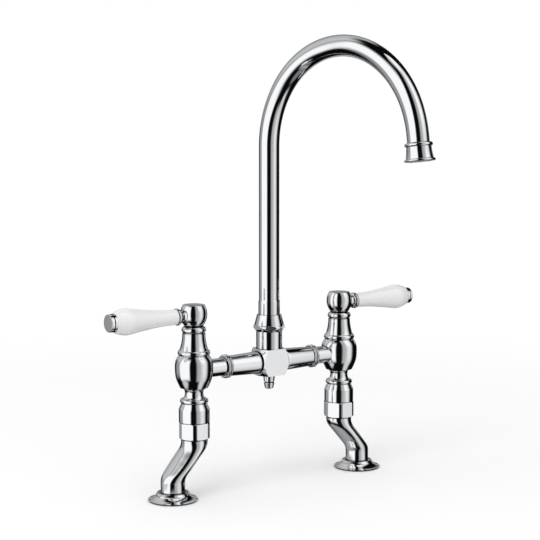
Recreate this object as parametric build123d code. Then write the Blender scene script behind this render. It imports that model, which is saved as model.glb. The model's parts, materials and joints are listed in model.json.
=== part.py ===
"""Deck-mounted bridge mixer tap with a swan-neck spout and ceramic lever grips.

Frame: millimetres, +Z up, the deck is z = 0, X runs along the bridge and the user stands at -Y.
The origin is on the deck, midway between the two deck holes. Everything above the legs is drawn
round the bridge's axis (z = 0 there) and lifted by BRIDGE_HEIGHT, so the legs take up any change.
"""
import math
import os

from build123d import *

# Driving dimensions
VALVE_SPACING = 180.0
BRIDGE_HEIGHT = 124.9
CRANK_OFFSET = 25.0
SPOUT_SWING = 8.87
SPOUT_ARC_R = 95.0
SPOUT_ARC_ANGLE = 172.8
SPOUT_ARC_RISE = 215.75
TUBE_R = 10.2
TUBE_WALL = 1.5

# Fits: face to face, sliding on one body, running between two bodies
FIT = 0.05
RUN = 0.10
GAP = 0.30
# How far a cut reaches past the face that it starts from
PAST = 1.0

# Valve body, drawn from the bridge's axis
BODY_R = 18.65
BODY_WIDEST_Z = 1.0
BODY_TOP = 19.9
BODY_TOP_R = 14.5
BEAD_R = 15.9
BELLY_TOP = 15.0
BELLY_TOP_R = 14.7
BELLY_HIGH_R = 17.15
BELLY_HIGH_Z = 11.2
BELLY_LOW_R = 17.5
BELLY_LOW_Z = -8.2
BELLY_HEM_R = 16.0
BELLY_HEM_Z = -12.1
BELLY_FOOT = -16.8
BELLY_FOOT_R = 13.8
NECK_TOP = -17.9
NECK_TOP_R = 10.9
NECK_R = 9.0
NECK_Z = -22.2
NECK_FOOT_R = 11.2
FOOT_BEAD_R = 13.9
FOOT_EDGE_R = 12.5
FOOT_TOP = -27.7
FOOT_BOTTOM = -32.0
TAIL_R = 11.0
TAIL_BOTTOM = -60.4
WATERWAY_R = 6.5

# Cartridge and its bore in the body
CARTRIDGE_R = 8.9
CARTRIDGE_SEAT = -13.4
CARTRIDGE_SHOULDER = 22.5
CARTRIDGE_TOP = 38.0
CARTRIDGE_NECK_R = 6.2
CHAMBER_R = 7.4
SEAL_HEIGHT = 2.4
SEAL_LIP = 0.5
DISC_HEIGHT = 3.0
DISC_PORT_R = 2.2
DISC_PORT_OFFSET = 3.9
FOOT_R = 5.0
FOOT_HEIGHT = 3.8
SPINDLE_R = 4.0
WINDOW_WIDTH = 5.0
WINDOW_COUNT = 4
GALLERY_R = 10.6
GALLERY_HALF = 7.0

# Bonnet over the cartridge
BONNET_FOOT_R = 14.35
BONNET_MIDDLE_R = 12.15
BONNET_MIDDLE_Z = 27.0
BONNET_TOP_R = 11.3
BONNET_WAIST_Z = 35.0
CUP_BEAD_R = 12.0
CUP_CORE_R = 10.5
CUP_BOTTOM = 36.9
CUP_GROOVE = 0.8
CUP_TOP = 42.6
BONNET_SPIGOT_R = 12.0
BONNET_SPIGOT = 4.0

# Lever, its reach counted from the hub's axis
LEVER_Z = 53.5
HUB_NECK_R = 8.6
HUB_R = 13.15
HUB_WIDEST_Z = 53.6
HUB_TOP_Z = 64.1
HUB_TOP_R = 10.6
HUB_TOP_EDGE = 0.9
HUB_BORE_TOP = 58.5
BOSS_R = 6.3
BOSS_END = 13.9
ROD_R = 3.0
ROD_START = 6.5
FERRULE_FOOT_R = 5.7
FERRULE_NECK_R = 5.0
FERRULE_NECK = 14.7
FERRULE_FLARE_R = 6.0
FERRULE_FLARE = 16.6
FERRULE_EDGE_R = 7.5
FERRULE_EDGE = 17.3
FERRULE_R = 8.3
FERRULE_WIDEST = 18.9
FERRULE_END_R = 7.7
FERRULE_END = 20.8
GRIP_START_R = 7.4
GRIP_SLIM_R = 7.8
GRIP_SLIM = 33.0
GRIP_MIDDLE_R = 9.5
GRIP_MIDDLE = 51.0
GRIP_FULL_R = 12.0
GRIP_FULL = 69.0
GRIP_R = 12.8
GRIP_WIDEST = 76.5
GRIP_SHOULDER_R = 11.6
GRIP_SHOULDER = 83.5
GRIP_END_R = 8.9
GRIP_END = 88.4
CAP_COLLAR_R = 8.7
CAP_COLLAR = 2.3
CAP_GROOVE_R = 7.0
CAP_GROOVE = 1.0
CAP_R = 8.5
CAP_ROUND = 0.6
CAP_FACE = 3.0
CAP_END = 94.5
GRUB_R = 1.6
GRUB_LENGTH = 6.0
GRUB_KEY = 1.5

# Union between valve body and leg
UNION_R = 15.1
SLEEVE_TOP = -32.2
SLEEVE_TOP_R = 12.5
SLEEVE_SHOULDER = -37.9
SLEEVE_BOTTOM = -50.8
SLEEVE_CHAMFER = 0.5
NUT_TOP = -51.0
NUT_BOTTOM = -67.6
NUT_FLATS = 29.4
NUT_CORNER_R = 15.9
NUT_CHAMFER = 1.8
NUT_TOP_CHAMFER = 0.6
NUT_LIP = 3.6
LEG_NECK_R = 9.0
WASHER_HEIGHT = 1.5
CLIP_R = 10.8
CLIP_HEIGHT = 1.5
CLIP_GROOVE = 0.8
CLIP_SLOT = 4.0

# Cranked leg and deck flange, drawn from the deck
LEG_TOP_R = 13.1
LEG_BOTTOM_R = 11.9
LEG_STRAIGHT = 2.0
CRANK_BOTTOM = 18.0
CRANK_EASE = 0.23
CRANK_THIN = 0.08
CRANK_DEEP = 0.19
LEG_SECTIONS = 11
SOCKET_R = 9.3
SOCKET_DEPTH = 14.0
FLANGE_R = 24.1
FLANGE_BOTTOM = 0.8
FLANGE_EDGE = 1.5
FLANGE_UNDERCUT = 0.4
FLANGE_DISH = 0.7
FLANGE_HEIGHT = 8.2
COLLAR_R = 16.6
COLLAR_TOP_R = 15.2
COLLAR_FOOT = 5.2
COLLAR_WALL = 1.2
SEAL_INNER_R = 14.0
SEAL_OUTER_R = 22.4
SEAL_THICK = 1.5

# Bridge
BLOCK_SIDE = 26.6
BLOCK_LENGTH = 30.0
BLOCK_END = 4.6
BLOCK_FACE_R = 12.9
BRIDGE_BORE_R = 6.3
ARM_BLOCK_R = 11.2
ARM_ROUND = 2.6
ARM_RING_R = 10.0
ARM_SPIGOT_R = 7.8
ARM_SPIGOT = 4.0
RING_R = 11.7
RING_CENTRE = 53.2
RING_HALF = 2.7
RING_ROUND = 0.9
OUTLET_R = 8.8
OUTLET_BORE_R = 5.5
OUTLET_SPIGOT_R = 8.0
OUTLET_SPIGOT = 12.0
ARM_SEAL_R = 0.55
PLUG_R = 6.2
PLUG_WAIST = 7.8
PLUG_WAIST_R = 4.2
PLUG_GROOVE = 0.9
PLUG_ABOVE_R = 5.4
PLUG_BELOW_R = 5.5
PLUG_TIP_R = 4.4
PLUG_END_R = 3.4
PLUG_LENGTH = 14.4
PLUG_STEM_R = 4.0
PLUG_STEM = 5.0

# Spout socket, nut and stem
SOCKET_OUTER_R = 13.1
SOCKET_THREAD_R = 12.0
SOCKET_SHOULDER = 30.8
SOCKET_TOP = 36.6
SOCKET_SPIGOT_R = 10.0
SOCKET_SPIGOT = 6.0
STEM_R = 10.8
STEM_BORE_R = 7.5
STEM_BOTTOM = 16.0
STEM_SHOULDER = 60.1
STEM_TOP = 62.6
STEM_SPIGOT = 8.0
SPOUT_NUT_FOOT_R = 13.3
SPOUT_NUT_R = 15.9
SPOUT_NUT_FLATS = 30.0
SPOUT_NUT_TURN = 32.0
SPOUT_NUT_BOTTOM = 30.9
SPOUT_NUT_UNDER_R = 14.4
SPOUT_NUT_UNDER = 32.7
SPOUT_NUT_WIDEST = 35.0
SPOUT_NUT_WAIST_R = 15.0
SPOUT_NUT_CONE = 37.2
SPOUT_NUT_TOP = 47.6
SPOUT_NUT_TOP_R = 12.2
SPLIT_RING_R = 11.9
SPLIT_RING_HEIGHT = 2.4
SPLIT_RING_SLOT = 2.0
SPLIT_GROOVE = 0.7
O_RING_R = 0.77
O_RING_PLAY = 0.15
O_RING_LEVELS = (20.0, 26.0)

# Nozzle, measured down its own axis from the top of its bead
NOZZLE_DROP = 6.6
NOZZLE_BEAD_R = 12.9
NOZZLE_BEAD = 3.6
NOZZLE_BEAD_ROUND = 1.4
NOZZLE_NECK_R = 11.4
NOZZLE_FLARE_R = 11.85
NOZZLE_FLARE = 9.0
NOZZLE_BELL_R = 12.8
NOZZLE_BELL = 14.6
NOZZLE_LIP_R = 14.3
NOZZLE_LIP_ROUND = 1.0
NOZZLE_LENGTH = 17.0
TUBE_IN_NOZZLE = 5.0
NOZZLE_SHOULDER = 1.2
AERATOR_R = 10.7
AERATOR_WASHER = 1.2
AERATOR_LENGTH = 8.4
AERATOR_HOLE_R = 0.8
AERATOR_RING_STEP = 2.75
AERATOR_RING_COUNT = 4
AERATOR_RING_HOLES = 6
AERATOR_PLAY = 0.2

VALVE_X = VALVE_SPACING / 2
SIDES = {"left": -1, "right": 1}


def turned(outline):
    """Revolve an outline of (radius, height) edges round Z."""
    return revolve(make_face(Plane.XZ * outline), Axis.Z)


def rod(radius, bottom, top):
    """An upright cylinder between two heights."""
    return Pos(0, 0, bottom) * Cylinder(radius, top - bottom, align=(Align.CENTER, Align.CENTER, Align.MIN))


def ring(outer, inner, bottom, top):
    """An upright tube between two heights."""
    return rod(outer, bottom, top) - rod(inner, bottom, top)


def bead(radius, core, bottom, top):
    """A rounded bead standing out from a core radius."""
    middle = (bottom + top) / 2
    outline = Polyline((core, top), (0, top), (0, bottom), (core, bottom))
    return turned(outline + ThreePointArc((core, bottom), (radius, middle), (core, top)))


def along(side, shape):
    """Lay an upright piece along X, pointing away from the origin on the given side."""
    return Rot(0, 90 * side, 0) * shape


def to_valve(side, shape):
    """Move a piece drawn round the valve's axis to its side of the bridge."""
    return Pos(side * VALVE_X, 0, BRIDGE_HEIGHT) * shape


def lift(shape):
    """Move a piece drawn round the bridge's axis to its height."""
    return Pos(0, 0, BRIDGE_HEIGHT) * shape


def hexagon(flats, bottom, top, turn=0.0):
    """A six-sided bar with its flats turned from facing Y."""
    outline = RegularPolygon(flats / 2, 6, major_radius=False)
    return Pos(0, 0, bottom) * Rot(0, 0, turn) * extrude(outline, top - bottom)


# Valve body and cartridge


def valve_body(side):
    """Baluster body with its threaded tail, waterway, cartridge bore and side outlet."""
    profile = Polyline((0, BODY_TOP), (0, TAIL_BOTTOM), (TAIL_R, TAIL_BOTTOM), (TAIL_R, FOOT_BOTTOM),
                       (FOOT_EDGE_R, FOOT_BOTTOM))
    foot_middle = (FOOT_TOP + FOOT_BOTTOM) / 2
    profile += ThreePointArc((FOOT_EDGE_R, FOOT_BOTTOM), (FOOT_BEAD_R, foot_middle), (FOOT_EDGE_R, FOOT_TOP))
    profile += Line((FOOT_EDGE_R, FOOT_TOP), (NECK_FOOT_R, FOOT_TOP))
    profile += Spline((NECK_FOOT_R, FOOT_TOP), (NECK_R, NECK_Z), (NECK_TOP_R, NECK_TOP),
                      tangents=((-1, 1), (1, 0.8)))
    profile += Line((NECK_TOP_R, NECK_TOP), (BELLY_FOOT_R, BELLY_FOOT))
    profile += Spline((BELLY_FOOT_R, BELLY_FOOT), (BELLY_HEM_R, BELLY_HEM_Z), (BELLY_LOW_R, BELLY_LOW_Z),
                      (BODY_R, BODY_WIDEST_Z), (BELLY_HIGH_R, BELLY_HIGH_Z), (BELLY_TOP_R, BELLY_TOP),
                      tangents=((0.5, 1), (-0.8, 1)))
    bead_middle = (BELLY_TOP + BODY_TOP) / 2
    profile += ThreePointArc((BELLY_TOP_R, BELLY_TOP), (BEAD_R, bead_middle), (BODY_TOP_R, BODY_TOP))
    profile += Line((BODY_TOP_R, BODY_TOP), (0, BODY_TOP))
    outlet_end = VALVE_X - RING_CENTRE - RING_HALF
    outlet = rod(OUTLET_R, 0, outlet_end) + rod(OUTLET_SPIGOT_R, outlet_end, outlet_end + OUTLET_SPIGOT)
    seal_z = outlet_end + OUTLET_SPIGOT / 2
    groove_r = OUTLET_SPIGOT_R - 2 * ARM_SEAL_R - FIT
    outlet -= ring(OUTLET_SPIGOT_R + PAST, groove_r, seal_z - ARM_SEAL_R - FIT, seal_z + ARM_SEAL_R + FIT)
    shape = turned(profile) + along(-side, outlet)
    shape -= along(-side, rod(OUTLET_BORE_R, 0, outlet_end + OUTLET_SPIGOT))
    shape -= rod(WATERWAY_R, TAIL_BOTTOM, CARTRIDGE_SEAT)
    shape -= rod(CARTRIDGE_R + RUN, CARTRIDGE_SEAT, BODY_TOP)
    shape -= rod(GALLERY_R, -GALLERY_HALF, GALLERY_HALF)
    shape -= rod(BONNET_SPIGOT_R + FIT, BODY_TOP - BONNET_SPIGOT - FIT, BODY_TOP)
    return to_valve(side, shape)


def bonnet(side):
    """Flared cover that screws into the body and holds the cartridge down."""
    groove = CUP_BOTTOM - CUP_GROOVE
    profile = Polyline((0, CUP_BOTTOM), (0, BODY_TOP), (BONNET_FOOT_R, BODY_TOP))
    profile += Spline((BONNET_FOOT_R, BODY_TOP), (BONNET_MIDDLE_R, BONNET_MIDDLE_Z),
                      (BONNET_TOP_R, BONNET_WAIST_Z), tangents=((-0.5, 1), (0, 1)))
    profile += Polyline((BONNET_TOP_R, BONNET_WAIST_Z), (BONNET_TOP_R, groove), (CUP_CORE_R, groove),
                        (CUP_CORE_R, CUP_BOTTOM), (0, CUP_BOTTOM))
    shape = turned(profile) + bead(CUP_BEAD_R, CUP_CORE_R, CUP_BOTTOM, CUP_TOP)
    shape += rod(BONNET_SPIGOT_R, BODY_TOP - BONNET_SPIGOT, BODY_TOP)
    shape -= rod(CARTRIDGE_R + RUN, BODY_TOP - BONNET_SPIGOT, CARTRIDGE_SHOULDER + FIT)
    shape -= rod(CARTRIDGE_NECK_R + RUN, CARTRIDGE_SHOULDER, CUP_TOP)
    return to_valve(side, shape)


SEAL_BOTTOM = CARTRIDGE_SEAT
HOUSING_BOTTOM = SEAL_BOTTOM + SEAL_HEIGHT
FIXED_DISC_TOP = HOUSING_BOTTOM + DISC_HEIGHT
MOVING_DISC_BOTTOM = FIXED_DISC_TOP + RUN / 2
MOVING_DISC_TOP = MOVING_DISC_BOTTOM + DISC_HEIGHT
CHAMBER_TOP = MOVING_DISC_TOP + FOOT_HEIGHT + RUN


def cartridge_housing(side):
    """Brass sleeve with the disc chamber, its side windows and the spindle bearing."""
    shape = rod(CARTRIDGE_R, HOUSING_BOTTOM, CARTRIDGE_SHOULDER)
    shape += rod(CARTRIDGE_NECK_R, CARTRIDGE_SHOULDER, CARTRIDGE_TOP)
    shape -= rod(CHAMBER_R, HOUSING_BOTTOM, CHAMBER_TOP)
    shape -= rod(SPINDLE_R + RUN, CHAMBER_TOP, CARTRIDGE_TOP)
    window_height = CHAMBER_TOP - MOVING_DISC_TOP
    window = Box(2 * (CARTRIDGE_R + PAST), WINDOW_WIDTH, window_height)
    for step in range(WINDOW_COUNT // 2):
        turn = Rot(0, 0, step * 360 / WINDOW_COUNT)
        shape -= Pos(0, 0, MOVING_DISC_TOP + window_height / 2) * turn * window
    return to_valve(side, shape)


def valve_disc(bottom, turn):
    """Ceramic disc with two ports, facing each other across the axis."""
    shape = rod(CHAMBER_R - RUN, bottom, bottom + DISC_HEIGHT)
    for way in (-1, 1):
        port = rod(DISC_PORT_R, bottom, bottom + DISC_HEIGHT)
        shape -= Rot(0, 0, turn) * Pos(way * DISC_PORT_OFFSET, 0, 0) * port
    return shape


def fixed_disc(side):
    return to_valve(side, valve_disc(HOUSING_BOTTOM, 90))


def moving_disc(side):
    return to_valve(side, valve_disc(MOVING_DISC_BOTTOM, 0))


def seat_seal(side):
    return to_valve(side, ring(CARTRIDGE_R - RUN, WATERWAY_R - SEAL_LIP, SEAL_BOTTOM, HOUSING_BOTTOM))


def spindle(side):
    """Turning stem from the moving disc up into the lever hub."""
    shape = rod(FOOT_R, MOVING_DISC_TOP, MOVING_DISC_TOP + FOOT_HEIGHT)
    shape += rod(SPINDLE_R, MOVING_DISC_TOP, HUB_BORE_TOP)
    return to_valve(side, shape)


# Lever


def lever_hub(side):
    """Barrel-shaped hub with a flat top and the boss that takes the lever's rod."""
    bottom = CUP_TOP + GAP
    profile = Polyline((HUB_TOP_R, HUB_TOP_Z), (0, HUB_TOP_Z), (0, bottom), (HUB_NECK_R, bottom))
    profile += ThreePointArc((HUB_NECK_R, bottom), (HUB_R, HUB_WIDEST_Z), (HUB_TOP_R, HUB_TOP_Z))
    barrel = turned(profile)
    barrel = fillet(barrel.edges().group_by(Axis.Z)[-1], HUB_TOP_EDGE)
    shape = barrel + Pos(0, 0, LEVER_Z) * along(side, rod(BOSS_R, 0, BOSS_END))
    shape -= rod(SPINDLE_R + FIT, bottom, HUB_BORE_TOP)
    shape -= Pos(0, 0, LEVER_Z) * along(side, rod(ROD_R + FIT, ROD_START, BOSS_END))
    shape -= Pos(0, SPINDLE_R, LEVER_Z) * Rot(-90, 0, 0) * rod(GRUB_R + FIT, 0, HUB_R)
    return to_valve(side, shape)


def grub_screw(side):
    """Socket grub screw at the back of the hub, tight on the spindle."""
    shape = rod(GRUB_R, FIT, GRUB_LENGTH) - hexagon(GRUB_KEY, GRUB_LENGTH - GRUB_KEY, GRUB_LENGTH)
    return to_valve(side, Pos(0, SPINDLE_R, LEVER_Z) * Rot(-90, 0, 0) * shape)


def on_lever(side, shape):
    """Place a piece turned round the lever's axis, its height being the reach from the hub's axis."""
    return to_valve(side, Pos(0, 0, LEVER_Z) * along(side, shape))


def lever_rod(side):
    return on_lever(side, rod(ROD_R, ROD_START, CAP_END - CAP_FACE))


def lever_ferrule(side):
    """Waisted collar between hub and grip."""
    profile = Polyline((FERRULE_END_R, FERRULE_END), (0, FERRULE_END), (0, BOSS_END),
                       (FERRULE_FOOT_R, BOSS_END), (FERRULE_NECK_R, FERRULE_NECK))
    profile += ThreePointArc((FERRULE_NECK_R, FERRULE_NECK), (FERRULE_FLARE_R, FERRULE_FLARE),
                             (FERRULE_EDGE_R, FERRULE_EDGE))
    profile += ThreePointArc((FERRULE_EDGE_R, FERRULE_EDGE), (FERRULE_R, FERRULE_WIDEST),
                             (FERRULE_END_R, FERRULE_END))
    return on_lever(side, turned(profile) - rod(ROD_R + FIT, BOSS_END, FERRULE_END))


def lever_grip(side):
    """Glazed ceramic grip, slim at the ferrule and full near its end."""
    profile = Polyline((GRIP_END_R, GRIP_END), (0, GRIP_END), (0, FERRULE_END), (GRIP_START_R, FERRULE_END))
    profile += Spline((GRIP_START_R, FERRULE_END), (GRIP_SLIM_R, GRIP_SLIM), (GRIP_MIDDLE_R, GRIP_MIDDLE),
                      (GRIP_FULL_R, GRIP_FULL), (GRIP_R, GRIP_WIDEST), (GRIP_SHOULDER_R, GRIP_SHOULDER),
                      (GRIP_END_R, GRIP_END), tangents=((0.1, 1), (-1, 0.5)))
    return on_lever(side, turned(profile) - rod(ROD_R + RUN, FERRULE_END, GRIP_END))


def lever_end_cap(side):
    """Chrome cap nut: a collar against the grip, a groove and a round-edged head."""
    groove = GRIP_END + CAP_COLLAR
    head = groove + CAP_GROOVE
    cap = rod(CAP_R, head, CAP_END)
    cap = fillet(cap.edges().group_by(Axis.Z)[-1], CAP_ROUND)
    shape = rod(CAP_COLLAR_R, GRIP_END, groove) + rod(CAP_GROOVE_R, groove, head) + cap
    return on_lever(side, shape - rod(ROD_R + FIT, GRIP_END, CAP_END - CAP_FACE))


# Union and leg


def union_sleeve(side):
    profile = Polyline((0, SLEEVE_TOP), (0, SLEEVE_BOTTOM), (UNION_R - SLEEVE_CHAMFER, SLEEVE_BOTTOM),
                       (UNION_R, SLEEVE_BOTTOM + SLEEVE_CHAMFER), (UNION_R, SLEEVE_SHOULDER),
                       (SLEEVE_TOP_R, SLEEVE_TOP), (0, SLEEVE_TOP))
    return to_valve(side, turned(profile) - rod(TAIL_R + FIT, SLEEVE_BOTTOM, SLEEVE_TOP))


def union_nut(side):
    """Hexagon nut with rounded corners; its lip lets the leg swivel until it is tightened."""
    profile = Polyline((0, NUT_TOP), (0, NUT_BOTTOM), (LEG_TOP_R, NUT_BOTTOM),
                       (NUT_CORNER_R, NUT_BOTTOM + NUT_CHAMFER), (NUT_CORNER_R, NUT_TOP - NUT_TOP_CHAMFER),
                       (UNION_R, NUT_TOP), (0, NUT_TOP))
    shape = turned(profile) & hexagon(NUT_FLATS, NUT_BOTTOM, NUT_TOP)
    shape -= rod(TAIL_R + FIT, NUT_BOTTOM + NUT_LIP, NUT_TOP)
    shape -= rod(LEG_NECK_R + RUN, NUT_BOTTOM, NUT_TOP)
    return to_valve(side, shape)


WASHER_BOTTOM = TAIL_BOTTOM - WASHER_HEIGHT
LEG_NECK_TOP = BRIDGE_HEIGHT + WASHER_BOTTOM - RUN
LEG_SHOULDER = BRIDGE_HEIGHT + NUT_BOTTOM - GAP
CRANK_TOP = LEG_SHOULDER - LEG_STRAIGHT
CLIP_BOTTOM = BRIDGE_HEIGHT + NUT_BOTTOM + NUT_LIP + RUN


def union_washer(side):
    return to_valve(side, ring(TAIL_R - GAP, WATERWAY_R, WASHER_BOTTOM, TAIL_BOTTOM))


def crank_shift(height):
    """How far the leg's axis has moved outwards at a height: straight in the middle, eased at both ends."""
    fall = (CRANK_TOP - height) / (CRANK_TOP - CRANK_BOTTOM)
    fall = min(max(fall, 0.0), 1.0)
    slope = 1 / (1 - CRANK_EASE)
    if fall < CRANK_EASE:
        share = slope * fall ** 2 / (2 * CRANK_EASE)
    elif fall > 1 - CRANK_EASE:
        share = 1 - slope * (1 - fall) ** 2 / (2 * CRANK_EASE)
    else:
        share = slope * (fall - CRANK_EASE / 2)
    return CRANK_OFFSET * share


def crank_loft(top_r, bottom_r, thin=0.0, deep=0.0):
    """Loft level sections down the crank: circles that turn oval half way, thin along X and deep along Y."""
    sections = []
    for step in range(LEG_SECTIONS):
        fall = step / (LEG_SECTIONS - 1)
        height = CRANK_TOP + (CRANK_BOTTOM - CRANK_TOP) * fall
        radius = top_r + (bottom_r - top_r) * fall
        oval = math.sin(math.pi * fall)
        slim = radius * (1 - thin * oval)
        wide = radius * (1 + deep * oval)
        outline = Ellipse(wide, slim) if wide > slim else Circle(radius)
        sections.append(Pos(crank_shift(height), 0, height) * Rot(0, 0, 90) * outline)
    return loft(sections)


def crank_leg(side):
    """Cranked leg with its neck in the union and an inside thread for the fixing tail below."""
    shape = crank_loft(LEG_TOP_R, LEG_BOTTOM_R, CRANK_THIN, CRANK_DEEP)
    shape += rod(LEG_TOP_R, CRANK_TOP, LEG_SHOULDER)
    shape += rod(LEG_NECK_R, LEG_SHOULDER, LEG_NECK_TOP)
    foot = Pos(CRANK_OFFSET, 0, 0)
    shape += foot * rod(LEG_BOTTOM_R, 0, CRANK_BOTTOM)
    groove_r = LEG_NECK_R - CLIP_GROOVE
    shape -= ring(LEG_NECK_R + PAST, groove_r, CLIP_BOTTOM - FIT, CLIP_BOTTOM + CLIP_HEIGHT + FIT)
    shape -= rod(WATERWAY_R, CRANK_TOP, LEG_NECK_TOP)
    shape -= crank_loft(WATERWAY_R, WATERWAY_R)
    shape -= foot * rod(WATERWAY_R, 0, CRANK_BOTTOM)
    shape -= foot * rod(SOCKET_R, 0, SOCKET_DEPTH)
    return to_foot(side, shape)


def to_foot(side, shape):
    """Move a piece drawn round the valve's axis, crank towards +X, to its side of the deck."""
    turn = 0 if side > 0 else 180
    return Pos(side * VALVE_X, 0, 0) * Rot(0, 0, turn) * shape


def leg_clip(side):
    """Open spring clip in the neck's groove, above the nut's lip."""
    shape = ring(CLIP_R, LEG_NECK_R - CLIP_GROOVE + FIT, CLIP_BOTTOM, CLIP_BOTTOM + CLIP_HEIGHT)
    shape -= Pos(0, CLIP_R, CLIP_BOTTOM + CLIP_HEIGHT / 2) * Box(CLIP_SLOT, 2 * CLIP_R, 2 * CLIP_HEIGHT)
    return to_foot(side, shape)


def deck_flange(side):
    """Flared cover plate with a collar round the leg and a recess for the seal."""
    profile = Polyline((COLLAR_TOP_R, FLANGE_HEIGHT), (0, FLANGE_HEIGHT), (0, FLANGE_BOTTOM),
                       (FLANGE_R - FLANGE_UNDERCUT, FLANGE_BOTTOM), (FLANGE_R, FLANGE_EDGE))
    middle_r = (FLANGE_R + COLLAR_R) / 2
    middle_z = (FLANGE_EDGE + COLLAR_FOOT) / 2 - FLANGE_DISH
    profile += ThreePointArc((FLANGE_R, FLANGE_EDGE), (middle_r, middle_z), (COLLAR_R, COLLAR_FOOT))
    profile += Polyline((COLLAR_R, COLLAR_FOOT), (COLLAR_R, COLLAR_FOOT + COLLAR_WALL),
                        (COLLAR_TOP_R, FLANGE_HEIGHT))
    shape = turned(profile) - rod(LEG_BOTTOM_R + FIT, FLANGE_BOTTOM, FLANGE_HEIGHT)
    shape -= ring(SEAL_OUTER_R + FIT, SEAL_INNER_R - FIT, FLANGE_BOTTOM, SEAL_THICK)
    return to_foot(side, Pos(CRANK_OFFSET, 0, 0) * shape)


def deck_seal(side):
    shape = ring(SEAL_OUTER_R, SEAL_INNER_R, 0, SEAL_THICK)
    return to_foot(side, Pos(CRANK_OFFSET, 0, 0) * shape)


# Bridge


def bridge_block():
    """Square block with its ends turned to a cone, bored through for the arms, the socket and the plug."""
    half = BLOCK_LENGTH / 2
    corner_r = BLOCK_SIDE / 2 * math.sqrt(2)
    past_r = corner_r + PAST
    straight = half - BLOCK_END * (past_r - BLOCK_FACE_R) / (corner_r - BLOCK_FACE_R)
    profile = Polyline((0, half), (0, -half), (BLOCK_FACE_R, -half), (past_r, -straight), (past_r, straight),
                       (BLOCK_FACE_R, half), (0, half))
    shape = along(1, turned(profile)) & Box(BLOCK_LENGTH, BLOCK_SIDE, BLOCK_SIDE)
    shape -= along(1, rod(BRIDGE_BORE_R, -half, half))
    for side in SIDES.values():
        shape -= along(side, rod(ARM_SPIGOT_R + FIT, half - ARM_SPIGOT, half))
    top = BLOCK_SIDE / 2
    shape -= rod(STEM_BORE_R, 0, top)
    shape -= rod(SOCKET_SPIGOT_R + FIT, top - SOCKET_SPIGOT, top)
    shape -= rod(PLUG_STEM_R + FIT, -top, 0)
    return lift(shape)


def bridge_arm(side):
    """Tapered arm from the block to its end ring, with the socket for the body's outlet."""
    start = BLOCK_LENGTH / 2
    ring_start = RING_CENTRE - RING_HALF
    ring_end = RING_CENTRE + RING_HALF
    flat_r = ARM_BLOCK_R - ARM_ROUND
    half_turn = ARM_ROUND * math.sqrt(0.5)
    profile = Polyline((ARM_BLOCK_R, start + ARM_ROUND), (ARM_RING_R, ring_start), (ARM_RING_R, ring_end),
                       (0, ring_end), (0, start - ARM_SPIGOT), (ARM_SPIGOT_R, start - ARM_SPIGOT),
                       (ARM_SPIGOT_R, start), (flat_r, start))
    profile += ThreePointArc((flat_r, start), (flat_r + half_turn, start + ARM_ROUND - half_turn),
                             (ARM_BLOCK_R, start + ARM_ROUND))
    shape = turned(profile)
    shape += bead(RING_R, RING_R - RING_ROUND, ring_start, RING_CENTRE)
    shape += bead(RING_R, RING_R - RING_ROUND, RING_CENTRE, ring_end)
    shape -= rod(BRIDGE_BORE_R, start - ARM_SPIGOT, ring_end)
    shape -= rod(OUTLET_SPIGOT_R + FIT, ring_end - OUTLET_SPIGOT - FIT, ring_end)
    return lift(along(side, shape))


def arm_seal(side):
    """O-ring on the body's outlet, inside the arm."""
    place = RING_CENTRE + RING_HALF - OUTLET_SPIGOT / 2
    shape = Pos(0, 0, place) * Torus(OUTLET_SPIGOT_R - ARM_SEAL_R, ARM_SEAL_R)
    return lift(along(side, shape))


def bridge_plug():
    """Turned finial that closes the block from below."""
    top = -BLOCK_SIDE / 2
    waist = top - PLUG_WAIST
    bottom = top - PLUG_LENGTH
    profile = Polyline((0, bottom), (0, top), (PLUG_R, top), (PLUG_ABOVE_R, waist + PLUG_GROOVE),
                       (PLUG_WAIST_R, waist), (PLUG_BELOW_R, waist - PLUG_GROOVE),
                       (PLUG_TIP_R, bottom + PLUG_GROOVE), (PLUG_END_R, bottom), (0, bottom))
    return lift(turned(profile) + rod(PLUG_STEM_R, top, top + PLUG_STEM))


# Spout


def spout_socket():
    """Upright socket on the block that the spout's stem turns in."""
    top = BLOCK_SIDE / 2
    shape = rod(SOCKET_OUTER_R, top, SOCKET_SHOULDER) + rod(SOCKET_THREAD_R, SOCKET_SHOULDER, SOCKET_TOP)
    shape += rod(SOCKET_SPIGOT_R, top - SOCKET_SPIGOT, top)
    shape -= rod(STEM_BORE_R, top - SOCKET_SPIGOT, SOCKET_TOP)
    shape -= rod(STEM_R + RUN, STEM_BOTTOM - GAP, SOCKET_TOP)
    return lift(shape)


def spout_nut():
    """Cone-topped nut with six spanner flats on its ring, holding the spout down."""
    profile = Polyline((SPOUT_NUT_WAIST_R, SPOUT_NUT_CONE), (SPOUT_NUT_TOP_R, SPOUT_NUT_TOP),
                       (0, SPOUT_NUT_TOP), (0, SPOUT_NUT_BOTTOM), (SPOUT_NUT_FOOT_R, SPOUT_NUT_BOTTOM),
                       (SPOUT_NUT_UNDER_R, SPOUT_NUT_UNDER))
    profile += ThreePointArc((SPOUT_NUT_UNDER_R, SPOUT_NUT_UNDER), (SPOUT_NUT_R, SPOUT_NUT_WIDEST),
                             (SPOUT_NUT_WAIST_R, SPOUT_NUT_CONE))
    shape = turned(profile) & hexagon(SPOUT_NUT_FLATS, SPOUT_NUT_BOTTOM, SPOUT_NUT_TOP, SPOUT_NUT_TURN)
    shape -= rod(SOCKET_THREAD_R + FIT, SPOUT_NUT_BOTTOM, SPLIT_RING_TOP + RUN)
    shape -= rod(STEM_R + RUN, SPOUT_NUT_BOTTOM, SPOUT_NUT_TOP)
    return lift(shape)


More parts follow.
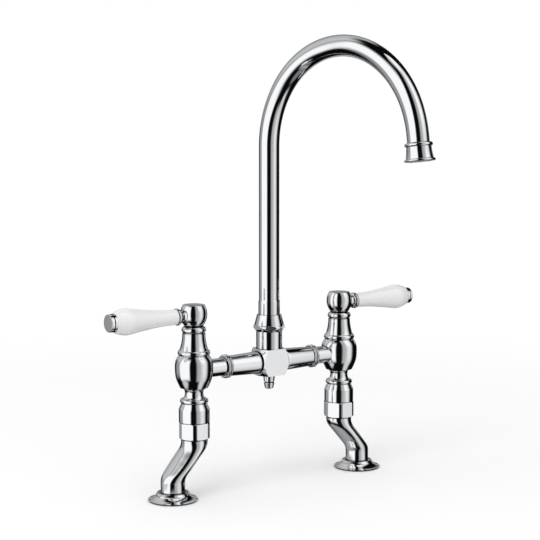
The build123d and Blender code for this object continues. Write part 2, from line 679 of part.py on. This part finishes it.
SPLIT_RING_BOTTOM = SOCKET_TOP + RUN
SPLIT_RING_TOP = SPLIT_RING_BOTTOM + SPLIT_RING_HEIGHT
SPLIT_GROOVE_R = STEM_R - SPLIT_GROOVE
O_GROOVE_R = STEM_R + RUN - 2 * O_RING_R - O_RING_PLAY


def spout_turn(shape):
    """Swing a piece drawn with the spout towards -Y to where the photograph shows it."""
    return lift(Rot(0, 0, SPOUT_SWING) * shape)


def spout_stem():
    """Foot of the spout: turns in the socket, with grooves for the split ring and the O-rings."""
    profile = Polyline((0, STEM_TOP), (0, STEM_BOTTOM), (STEM_R, STEM_BOTTOM), (STEM_R, STEM_SHOULDER),
                       (TUBE_R, STEM_TOP), (0, STEM_TOP))
    shape = turned(profile) + rod(TUBE_R - TUBE_WALL - FIT, STEM_TOP, STEM_TOP + STEM_SPIGOT)
    for level in O_RING_LEVELS:
        shape -= ring(STEM_R + PAST, O_GROOVE_R, level - O_RING_R - RUN, level + O_RING_R + RUN)
    shape -= ring(STEM_R + PAST, SPLIT_GROOVE_R, SPLIT_RING_BOTTOM - FIT, SPLIT_RING_TOP + FIT)
    shape -= rod(STEM_BORE_R, STEM_BOTTOM, STEM_TOP + STEM_SPIGOT)
    return spout_turn(shape)


def spout_o_ring(level):
    major = (O_GROOVE_R + STEM_R + RUN) / 2
    return spout_turn(Pos(0, 0, level) * Torus(major, O_RING_R))


def spout_split_ring():
    """Split ring that keeps the stem from lifting out, trapped under the nut."""
    shape = ring(SPLIT_RING_R, SPLIT_GROOVE_R + FIT, SPLIT_RING_BOTTOM, SPLIT_RING_TOP)
    middle = SPLIT_RING_BOTTOM + SPLIT_RING_HEIGHT / 2
    shape -= Pos(0, SPLIT_RING_R, middle) * Box(SPLIT_RING_SLOT, 2 * SPLIT_RING_R, 2 * SPLIT_RING_HEIGHT)
    return spout_turn(shape)


def spout_path():
    """Centre line of the tube: up the column, round the swan neck, then straight into the nozzle."""
    angle = math.radians(SPOUT_ARC_ANGLE)
    middle = angle / 2

    def on_arc(turn):
        return (0, -SPOUT_ARC_R * (1 - math.cos(turn)), SPOUT_ARC_RISE + SPOUT_ARC_R * math.sin(turn))

    end = Vector(*on_arc(angle))
    heading = Vector(0, -math.sin(angle), math.cos(angle))
    column = Line((0, 0, STEM_TOP), (0, 0, SPOUT_ARC_RISE))
    neck = ThreePointArc(on_arc(0), on_arc(middle), on_arc(angle))
    tip = Line(end, end + heading * (NOZZLE_DROP + TUBE_IN_NOZZLE))
    return Wire([column.edge(), neck.edge(), tip.edge()]), end + heading * NOZZLE_DROP, heading


def spout_tube():
    path, _, _ = spout_path()
    start = Plane(origin=(0, 0, STEM_TOP), z_dir=(0, 0, 1))
    outer = sweep(start * Circle(TUBE_R), path=path)
    inner = sweep(start * Circle(TUBE_R - TUBE_WALL), path=path)
    return spout_turn(outer - inner)


def on_nozzle(shape):
    """Place a piece turned round the nozzle's axis, its height being the drop from the bead's top."""
    _, origin, heading = spout_path()
    return spout_turn(Plane(origin=origin, x_dir=(1, 0, 0), z_dir=heading) * shape)


WASHER_DROP = TUBE_IN_NOZZLE + NOZZLE_SHOULDER
AERATOR_DROP = WASHER_DROP + AERATOR_WASHER


def nozzle_shell():
    """Bell-shaped outlet with a bead at the top and a lip at the mouth."""
    profile = Polyline((NOZZLE_BELL_R, NOZZLE_BELL), (0, NOZZLE_BELL), (0, NOZZLE_BEAD),
                       (NOZZLE_NECK_R, NOZZLE_BEAD))
    profile += Spline((NOZZLE_NECK_R, NOZZLE_BEAD), (NOZZLE_FLARE_R, NOZZLE_FLARE),
                      (NOZZLE_BELL_R, NOZZLE_BELL))
    shape = turned(profile) + bead(NOZZLE_BEAD_R, NOZZLE_BEAD_R - NOZZLE_BEAD_ROUND, 0, NOZZLE_BEAD)
    shape += bead(NOZZLE_LIP_R, NOZZLE_LIP_R - NOZZLE_LIP_ROUND, NOZZLE_BELL, NOZZLE_LENGTH)
    shape -= rod(TUBE_R + FIT, 0, TUBE_IN_NOZZLE)
    shape -= rod(TUBE_R - TUBE_WALL, TUBE_IN_NOZZLE, WASHER_DROP)
    shape -= rod(AERATOR_R + FIT, WASHER_DROP, NOZZLE_LENGTH)
    return on_nozzle(shape)


def aerator_washer():
    return on_nozzle(ring(AERATOR_R - AERATOR_PLAY, TUBE_R - TUBE_WALL, WASHER_DROP, AERATOR_DROP))


def aerator_insert():
    """Flow straightener with rings of holes."""
    shape = rod(AERATOR_R, AERATOR_DROP, AERATOR_DROP + AERATOR_LENGTH)
    hole = rod(AERATOR_HOLE_R, AERATOR_DROP, AERATOR_DROP + AERATOR_LENGTH)
    for index in range(AERATOR_RING_COUNT):
        count = max(1, AERATOR_RING_HOLES * index)
        for step in range(count):
            shape -= Rot(0, 0, step * 360 / count) * Pos(index * AERATOR_RING_STEP, 0, 0) * hole
    return on_nozzle(shape)


SIDE_PIECES = (
    valve_body, bonnet, cartridge_housing, fixed_disc, moving_disc, seat_seal, spindle,
    lever_hub, grub_screw, lever_rod, lever_ferrule, lever_grip, lever_end_cap,
    union_sleeve, union_nut, union_washer, crank_leg, leg_clip, deck_flange, deck_seal,
    bridge_arm, arm_seal,
)
CENTRE_PIECES = (
    bridge_block, bridge_plug, spout_socket, spout_nut, spout_stem, spout_split_ring,
    spout_tube, nozzle_shell, aerator_washer, aerator_insert,
)


def main():
    os.makedirs("parts", exist_ok=True)
    for name, side in SIDES.items():
        for piece in SIDE_PIECES:
            export_step(piece(side), f"parts/{name}_{piece.__name__}.step")
    for piece in CENTRE_PIECES:
        export_step(piece(), f"parts/{piece.__name__}.step")
    for name, level in zip(("lower", "upper"), O_RING_LEVELS):
        export_step(spout_o_ring(level), f"parts/spout_o_ring_{name}.step")


main()
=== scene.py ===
"""Looks of the bridge mixer tap: finishes for its pieces, a white studio and the photograph's camera.

Units are metres in the part's own frame: the deck is z = 0 and the user stands at -Y. One shape is made
here, the spout nut's sixth spanner flat.
"""
import json
import math

import bmesh
import bpy
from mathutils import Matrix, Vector

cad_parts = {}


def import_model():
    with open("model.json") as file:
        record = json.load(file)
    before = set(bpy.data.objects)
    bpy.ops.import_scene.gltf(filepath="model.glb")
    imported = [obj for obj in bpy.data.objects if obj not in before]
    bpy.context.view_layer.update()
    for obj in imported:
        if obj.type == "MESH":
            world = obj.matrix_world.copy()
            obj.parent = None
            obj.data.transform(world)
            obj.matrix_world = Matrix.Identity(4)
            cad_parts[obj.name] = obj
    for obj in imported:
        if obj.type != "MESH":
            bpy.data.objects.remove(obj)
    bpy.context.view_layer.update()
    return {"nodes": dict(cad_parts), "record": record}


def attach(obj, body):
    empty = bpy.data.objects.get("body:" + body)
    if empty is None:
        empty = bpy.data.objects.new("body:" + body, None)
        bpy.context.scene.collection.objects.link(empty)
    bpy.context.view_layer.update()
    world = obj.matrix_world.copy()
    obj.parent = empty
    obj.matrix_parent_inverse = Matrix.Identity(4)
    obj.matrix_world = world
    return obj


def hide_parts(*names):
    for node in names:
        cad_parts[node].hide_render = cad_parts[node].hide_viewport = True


# Camera, as worked out from the photograph's perspective, with its angles in degrees
IMAGE_SIDE = 540
FOCAL_PIXELS = 1424.4
CAMERA_PLACE = (-0.8314, -1.1475, 0.3657)
CAMERA_YAW = 35.96
CAMERA_PITCH = 5.99
SENSOR = 36.0

# Scrim: a large shell of dark cloth round the tap, inside the white room
SCRIM_RADIUS = 20.0
SCRIM_CENTRE = (0.0, -0.05, 0.2)
SCRIM_SEGMENTS = (48, 24)
SCRIM_CLOTH = 0.003

# Openings of the scrim: bearing of both sides and height of both ends above the horizon, softness of sides
# and of ends, how much light comes through, and how far the second side leans out above the horizon. All
# angles are in degrees. Bearings of near openings go rightwards from the camera, those of far openings go
# leftwards from the point opposite the camera.
LEAN = 0.34
UPRIGHT = 0.0
NEAR_OPENINGS = {
    "left_light": ((-92, -24), (-35, 47), (6, 12), 1.0, UPRIGHT),
    "right_light_edge": ((21, 90), (-44, 92), (9, 8), 0.42, LEAN),
    "right_light_low": ((44, 84), (-64, -44), (12, 8), 0.42, UPRIGHT),
    "right_light_middle": ((46, 90), (-60, 92), (12, 8), 0.22, LEAN),
    "right_light_core": ((57, 77), (-25, 70), (9, 15), 0.18, LEAN),
    "right_light_top": ((50, 72), (20, 62), (10, 12), 0.20, LEAN),
    "top_light": ((-24, 118), (70, 95), (10, 6), 0.5, UPRIGHT),
}
FAR_OPENINGS = {
    "back_light_high": ((-15, 84), (13, 62), (8, 8), 0.56, UPRIGHT),
    "back_light_low": ((-40, 40), (3, 12), (10, 3), 1.0, UPRIGHT),
    "back_light_left": ((50, 86), (-19, 14), (6, 8), 0.33, UPRIGHT),
    "back_light_middle": ((-26, 26), (-34, 1), (5, 5), 0.8, UPRIGHT),
    "floor_light": ((-182, 182), (-100, -73), (1, 5), 0.18, UPRIGHT),
}

# Grey cards on the floor: place, half sizes and brightness. Each is a disc of radius 1, scaled to its half
# sizes, solid up to one radius and faded out at its edge.
CARDS = {
    "left_foot_card": ((-0.13, -0.015, -0.001), (0.035, 0.035), 0.46),
    "right_foot_card": ((0.083, 0.022, -0.001), (0.045, 0.05), 0.36),
    "left_body_card": ((-0.215, 0.03, -0.001), (0.05, 0.075), 0.6),
    "right_body_card": ((-0.035, 0.02, -0.001), (0.035, 0.06), 0.6),
}
CARD_SOLID = 0.45
CARD_EDGE = 1.0
CARD_SEGMENTS = 64

# Floor: solid up to one radius and faded out at the other, with the colour that it throws on to the tap
FLOOR_RADIUS = 1.1
FLOOR_SOLID = 0.35
FLOOR_SEGMENTS = 96
FLOOR_COLOURS = ((0.97, 0.97, 0.97), (0.985, 0.985, 0.985))
FLOOR_GRAIN = 3
FLOOR_ROUGHNESS = 0.9
FLOOR_BOUNCE = (0.74, 0.74, 0.74, 1)

# Light of the room on everything but mirrors, and the key lamp above the tap
ROOM_LIGHT = 0.86
KEY_PLACE = (-1.2, -0.6, 2.2)
KEY_TARGET = (0, 0, 0.15)
KEY_SIZE = 1.2
KEY_POWER = 14

# Noise in the finishes: the part of its range that is used for roughness and for colour, how much broader
# the colour's noise is, and the share of the relief that shows
NOISE_DETAIL = 3.0
ROUGHNESS_SPAN = (0.3, 0.7)
COLOUR_SPAN = (0.35, 0.65)
BROADER = 20
RELIEF_STRENGTH = 0.3

# Painted shade in crevices: how far a neighbouring surface counts, how open to the air one is when fully
# shaded and when unshaded, and the shade's colour
CREVICE_SHADE_REACH = 0.0035
CREVICE_SHADE_SAMPLES = 16
CREVICE_SHADE_RANGE = (0.4, 0.75)
CREVICE_SHADE_COLOUR = (0.02, 0.02, 0.02, 1)

# How much light chrome throws back when seen nearly edge-on
CHROME_RIM = 0.28

# Sixth spanner flat of the spout nut: its distance from the spout's axis and the side it faces
NUT_FLAT_REACH = 0.01499
NUT_FLAT_TURN = math.radians(-178)

# Faces that meet at less than this angle look like one round face, and points nearer than this are one
SMOOTH_ANGLE = math.radians(15.5)
WELD = 2e-6

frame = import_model()
nodes = frame["nodes"]


def new_material(name):
    """A material with its shader, node tree and the piece's own coordinates."""
    material = bpy.data.materials.new(name)
    material.use_nodes = True
    tree = material.node_tree
    shader = tree.nodes["Principled BSDF"]
    place = tree.nodes.new("ShaderNodeTexCoord")
    return material, tree, shader, place.outputs["Object"]


def noise(tree, place, scale):
    """A noise pattern, its scale in bumps per metre."""
    node = tree.nodes.new("ShaderNodeTexNoise")
    node.inputs["Scale"].default_value = scale
    node.inputs["Detail"].default_value = NOISE_DETAIL
    tree.links.new(place, node.inputs["Vector"])
    return node.outputs["Fac"]


def spread(tree, value, low, high):
    """Spread the middle of a noise pattern between two numbers."""
    node = tree.nodes.new("ShaderNodeMapRange")
    node.inputs["From Min"].default_value = ROUGHNESS_SPAN[0]
    node.inputs["From Max"].default_value = ROUGHNESS_SPAN[1]
    node.inputs["To Min"].default_value = low
    node.inputs["To Max"].default_value = high
    tree.links.new(value, node.inputs["Value"])
    return node.outputs["Result"]


def tint(tree, value, first, second):
    """Blend two colours by a noise pattern."""
    node = tree.nodes.new("ShaderNodeValToRGB")
    for element, position, colour in zip(node.color_ramp.elements, COLOUR_SPAN, (first, second)):
        element.position = position
        element.color = (*colour, 1)
    tree.links.new(value, node.inputs["Fac"])
    return node.outputs["Color"]


def bump(tree, shader, value, depth):
    """Raise the surface by a noise pattern, depth in metres."""
    node = tree.nodes.new("ShaderNodeBump")
    node.inputs["Strength"].default_value = RELIEF_STRENGTH
    node.inputs["Distance"].default_value = depth
    tree.links.new(value, node.inputs["Height"])
    tree.links.new(node.outputs["Normal"], shader.inputs["Normal"])


def soft_step(tree, value, start, end):
    """Rise smoothly from 0 at start to 1 at end, or fall where end lies below start."""
    node = tree.nodes.new("ShaderNodeMapRange")
    node.interpolation_type = "SMOOTHSTEP"
    rising = end > start
    node.inputs["From Min"].default_value = min(start, end)
    node.inputs["From Max"].default_value = max(start, end)
    node.inputs["To Min"].default_value = 0.0 if rising else 1.0
    node.inputs["To Max"].default_value = 1.0 if rising else 0.0
    tree.links.new(value, node.inputs["Value"])
    return node.outputs["Result"]


def mix_colours(tree, factor, first, second):
    """Blend from a plain colour at 0 to another node's colour at 1."""
    node = tree.nodes.new("ShaderNodeMix")
    node.data_type = "RGBA"
    node.inputs["A"].default_value = first
    tree.links.new(factor, node.inputs["Factor"])
    tree.links.new(second, node.inputs["B"])
    return node.outputs["Result"]


def finish_of(name, colours, roughness, grain, metallic=0.0, relief=0.0, coat=0.0, rim=1.0):
    """A finish varied by noise in its colour, roughness and relief.

    A low rim darkens a metal where it is seen edge-on.
    """
    material, tree, shader, place = new_material(name)
    shader.inputs["Metallic"].default_value = metallic
    shader.inputs["Specular Tint"].default_value = (rim, rim, rim, 1)
    shader.inputs["Coat Weight"].default_value = coat
    fine = noise(tree, place, grain)
    broad = noise(tree, place, grain / BROADER)
    tree.links.new(tint(tree, broad, *colours), shader.inputs["Base Color"])
    tree.links.new(spread(tree, fine, *roughness), shader.inputs["Roughness"])
    if relief:
        bump(tree, shader, fine, relief)
    return material


def paint_crevice_shade(material):
    """Paint shade into a finish's colour in the narrow lines where pieces meet, where light is lost."""
    tree = material.node_tree
    shader = tree.nodes["Principled BSDF"]
    unshaded_colour = shader.inputs["Base Color"].links[0].from_socket
    nearness = tree.nodes.new("ShaderNodeAmbientOcclusion")
    nearness.samples = CREVICE_SHADE_SAMPLES
    nearness.inputs["Distance"].default_value = CREVICE_SHADE_REACH
    openness = soft_step(tree, nearness.outputs["AO"], *CREVICE_SHADE_RANGE)
    tree.links.new(mix_colours(tree, openness, CREVICE_SHADE_COLOUR, unshaded_colour), shader.inputs["Base Color"])


FINISHES = {
    "chrome": finish_of(
        "polished_chrome", colours=((0.92, 0.935, 0.957), (0.94, 0.955, 0.977)), roughness=(0.03, 0.06),
        grain=900, metallic=1.0, rim=CHROME_RIM),
    "ceramic": finish_of(
        "glazed_ceramic", colours=((0.855, 0.857, 0.861), (0.873, 0.875, 0.879)), roughness=(0.06, 0.12),
        grain=260, relief=2e-5, coat=0.6),
    "valve_ceramic": finish_of(
        "lapped_alumina", colours=((0.83, 0.80, 0.72), (0.87, 0.85, 0.79)), roughness=(0.25, 0.4),
        grain=1500),
    "brass": finish_of(
        "machined_brass", colours=((0.72, 0.53, 0.24), (0.80, 0.63, 0.32)), roughness=(0.2, 0.35),
        grain=1400, metallic=1.0, relief=1e-5),
    "steel": finish_of(
        "stainless_steel", colours=((0.52, 0.52, 0.53), (0.6, 0.6, 0.6)), roughness=(0.2, 0.35),
        grain=1400, metallic=1.0),
    "rubber": finish_of(
        "black_rubber", colours=((0.018, 0.018, 0.019), (0.03, 0.03, 0.03)), roughness=(0.55, 0.75),
        grain=1200, relief=3e-5),
    "plastic": finish_of(
        "white_acetal", colours=((0.74, 0.74, 0.73), (0.8, 0.8, 0.79)), roughness=(0.35, 0.5),
        grain=900, relief=1e-5),
}
# Painted shade in the chrome's colour, darker in the crevices where pieces meet
paint_crevice_shade(FINISHES["chrome"])


def dress(obj, slot_name):
    """Give a piece its finish and smooth its round faces while its edges stay crisp."""
    obj.data.materials.clear()
    obj.data.materials.append(FINISHES[slot_name])
    obj.data.polygons.foreach_set("use_smooth", [True] * len(obj.data.polygons))
    weld = obj.modifiers.new("weld", "WELD")
    weld.merge_threshold = WELD
    split = obj.modifiers.new("edges", "EDGE_SPLIT")
    split.split_angle = SMOOTH_ANGLE


def new_object(name, data):
    """An object in the scene."""
    obj = bpy.data.objects.new(name, data)
    bpy.context.scene.collection.objects.link(obj)
    return obj


def six_flat_nut():
    """Spout nut with its sixth spanner flat, on the left valve's side, which the solid lacks."""
    towards = Vector((math.cos(NUT_FLAT_TURN), math.sin(NUT_FLAT_TURN), 0))
    mesh = nodes["spout_nut"].data.copy()
    shell = bmesh.new()
    shell.from_mesh(mesh)
    bmesh.ops.remove_doubles(shell, verts=shell.verts, dist=WELD)
    whole = list(shell.verts) + list(shell.edges) + list(shell.faces)
    cut = bmesh.ops.bisect_plane(shell, geom=whole, plane_co=towards * NUT_FLAT_REACH, plane_no=towards,
                                 clear_outer=True)
    rim = [part for part in cut["geom_cut"] if isinstance(part, bmesh.types.BMEdge)]
    bmesh.ops.contextual_create(shell, geom=rim)
    shell.to_mesh(mesh)
    shell.free()
    obj = new_object("six_flat_spout_nut", mesh)
    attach(obj, "bridge")
    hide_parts("spout_nut")
    dress(obj, "chrome")


def math_node(tree, operation, first, second=None):
    """One arithmetic step on a socket, with a socket or a number."""
    node = tree.nodes.new("ShaderNodeMath")
    node.operation = operation
    tree.links.new(first, node.inputs[0])
    if isinstance(second, (int, float)):
        node.inputs[1].default_value = second
    elif second is not None:
        tree.links.new(second, node.inputs[1])
    return node.outputs["Value"]


def stage_material(name):
    """A material with an output and nothing else but the stage piece's own coordinates."""
    material = bpy.data.materials.new(name)
    material.use_nodes = True
    tree = material.node_tree
    tree.nodes.clear()
    out = tree.nodes.new("ShaderNodeOutputMaterial")
    place = tree.nodes.new("ShaderNodeTexCoord")
    return material, tree, out.inputs["Surface"], place.outputs["Object"]


def stage_disc(name, radius, segments):
    """A flat disc on stage."""
    mesh = bpy.data.meshes.new(name)
    disc = bmesh.new()
    bmesh.ops.create_circle(disc, cap_ends=True, segments=segments, radius=radius)
    disc.to_mesh(mesh)
    disc.free()
    return new_object(name, mesh)


def show_mirrors_only(obj):
    """Hide a stage piece from the camera, from soft light and from shadows, so that only mirrors see it."""
    obj.visible_camera = False
    obj.visible_diffuse = False
    obj.visible_shadow = False


def fade_outwards(tree, place, edge, solid):
    """1 up to the solid radius round the piece's origin, then falling smoothly to 0 at its edge."""
    reach = tree.nodes.new("ShaderNodeVectorMath")
    reach.operation = "LENGTH"
    tree.links.new(place, reach.inputs[0])
    return soft_step(tree, reach.outputs["Value"], edge, solid)


def opening(tree, bearing, height, sides, ends, softness, level, lean):
    """Light let through by one soft-edged opening of the scrim."""
    wide, tall = softness
    above = math_node(tree, "MAXIMUM", height, 0.0)
    leaning = math_node(tree, "SUBTRACT", bearing, math_node(tree, "MULTIPLY", above, lean))
    light = soft_step(tree, bearing, sides[0] - wide, sides[0] + wide)
    light = math_node(tree, "MULTIPLY", light, soft_step(tree, leaning, sides[1] + wide, sides[1] - wide))
    light = math_node(tree, "MULTIPLY", light, soft_step(tree, height, ends[0] - tall, ends[0] + tall))
    light = math_node(tree, "MULTIPLY", light, soft_step(tree, height, ends[1] + tall, ends[1] - tall))
    return math_node(tree, "MULTIPLY", light, level)


def scrim():
    """Dark cloth all round that only mirrors see, with openings on to the white room."""
    mesh = bpy.data.meshes.new("scrim")
    shell = bmesh.new()
    around, upwards = SCRIM_SEGMENTS
    bmesh.ops.create_uvsphere(shell, u_segments=around, v_segments=upwards, radius=SCRIM_RADIUS)
    shell.to_mesh(mesh)
    shell.free()
    obj = new_object("scrim", mesh)
    obj.location = SCRIM_CENTRE
    obj.rotation_euler = (0, 0, -math.radians(CAMERA_YAW))
    material, tree, surface, place = stage_material("scrim_cloth")
    cloth = tree.nodes.new("ShaderNodeBsdfTransparent")
    heading = tree.nodes.new("ShaderNodeVectorMath")
    heading.operation = "NORMALIZE"
    split = tree.nodes.new("ShaderNodeSeparateXYZ")
    tree.links.new(place, heading.inputs[0])
    tree.links.new(heading.outputs["Vector"], split.inputs["Vector"])
    rightwards, away, up = split.outputs
    towards = math_node(tree, "MULTIPLY", away, -1.0)
    height = math_node(tree, "DEGREES", math_node(tree, "ARCSINE", up))
    near = math_node(tree, "DEGREES", math_node(tree, "ARCTAN2", rightwards, towards))
    leftwards = math_node(tree, "MULTIPLY", rightwards, -1.0)
    far = math_node(tree, "DEGREES", math_node(tree, "ARCTAN2", leftwards, away))
    total = SCRIM_CLOTH
    for bearing, openings in ((near, NEAR_OPENINGS), (far, FAR_OPENINGS)):
        for values in openings.values():
            total = math_node(tree, "ADD", opening(tree, bearing, height, *values), total)
    tree.links.new(math_node(tree, "MINIMUM", total, 1.0), cloth.inputs["Color"])
    tree.links.new(cloth.outputs["BSDF"], surface)
    mesh.materials.append(material)
    show_mirrors_only(obj)


def card(name, place, halves, level):
    """Grey card that fades out towards its edge, so that what stands over it mirrors a pale floor."""
    obj = stage_disc(name, CARD_EDGE, CARD_SEGMENTS)
    obj.location = place
    obj.scale = (*halves, 1.0)
    material, tree, surface, point = stage_material(name)
    grey = tree.nodes.new("ShaderNodeEmission")
    grey.inputs["Color"].default_value = (level, level, level, 1)
    clear = tree.nodes.new("ShaderNodeBsdfTransparent")
    blend = tree.nodes.new("ShaderNodeMixShader")
    tree.links.new(fade_outwards(tree, point, CARD_EDGE, CARD_SOLID), blend.inputs["Fac"])
    tree.links.new(clear.outputs["BSDF"], blend.inputs[1])
    tree.links.new(grey.outputs["Emission"], blend.inputs[2])
    tree.links.new(blend.outputs["Shader"], surface)
    obj.data.materials.append(material)
    show_mirrors_only(obj)


def floor():
    """Pale floor that keeps the tap's shadow and fades out into the white room."""
    obj = stage_disc("floor", FLOOR_RADIUS, FLOOR_SEGMENTS)
    material, tree, shader, place = new_material("pale_floor")
    pale = tint(tree, noise(tree, place, FLOOR_GRAIN), *FLOOR_COLOURS)
    path = tree.nodes.new("ShaderNodeLightPath")
    shade = mix_colours(tree, path.outputs["Is Camera Ray"], FLOOR_BOUNCE, pale)
    tree.links.new(shade, shader.inputs["Base Color"])
    shader.inputs["Roughness"].default_value = FLOOR_ROUGHNESS
    shader.inputs["Specular IOR Level"].default_value = 0.0
    tree.links.new(fade_outwards(tree, place, FLOOR_RADIUS, FLOOR_SOLID), shader.inputs["Alpha"])
    obj.data.materials.append(material)
    obj.visible_glossy = False


def world():
    """White room as the camera and the mirrors see it, with its softer light on everything else."""
    room = bpy.data.worlds.new("white_room")
    room.use_nodes = True
    bpy.context.scene.world = room
    tree = room.node_tree
    path = tree.nodes.new("ShaderNodeLightPath")
    seen = math_node(tree, "MAXIMUM", path.outputs["Is Camera Ray"], path.outputs["Is Glossy Ray"])
    seen = math_node(tree, "MAXIMUM", seen, path.outputs["Is Transmission Ray"])
    level = tree.nodes.new("ShaderNodeMapRange")
    level.inputs["To Min"].default_value = ROOM_LIGHT
    level.inputs["To Max"].default_value = 1.0
    tree.links.new(seen, level.inputs["Value"])
    background = tree.nodes["Background"]
    background.inputs["Color"].default_value = (1, 1, 1, 1)
    tree.links.new(level.outputs["Result"], background.inputs["Strength"])


def aim_along(obj, direction):
    """Turn a lamp or camera to look along a direction, upright."""
    obj.rotation_euler = direction.to_track_quat("-Z", "Y").to_euler()


def key_lamp():
    """Soft square lamp aimed at the tap, which mirrors and the camera don't see."""
    light = bpy.data.lights.new("key", "AREA")
    light.shape = "SQUARE"
    light.size = KEY_SIZE
    light.energy = KEY_POWER
    obj = new_object("key", light)
    obj.location = KEY_PLACE
    aim_along(obj, Vector(KEY_TARGET) - Vector(KEY_PLACE))
    obj.visible_glossy = False
    obj.visible_camera = False


def camera():
    """The photograph's viewpoint."""
    data = bpy.data.cameras.new("camera")
    data.sensor_width = SENSOR
    data.lens = FOCAL_PIXELS / IMAGE_SIDE * SENSOR
    obj = new_object("camera", data)
    yaw = math.radians(CAMERA_YAW)
    pitch = math.radians(CAMERA_PITCH)
    level = math.cos(pitch)
    obj.location = CAMERA_PLACE
    aim_along(obj, Vector((math.sin(yaw) * level, math.cos(yaw) * level, -math.sin(pitch))))
    bpy.context.scene.camera = obj


for subpart in frame["record"]["subparts"]:
    dress(nodes[subpart["node"]], subpart["material_slot"])
six_flat_nut()

scrim()
for card_name, card_values in CARDS.items():
    card(card_name, *card_values)
floor()
world()
key_lamp()
camera()
bpy.context.scene.view_settings.view_transform = "Standard"
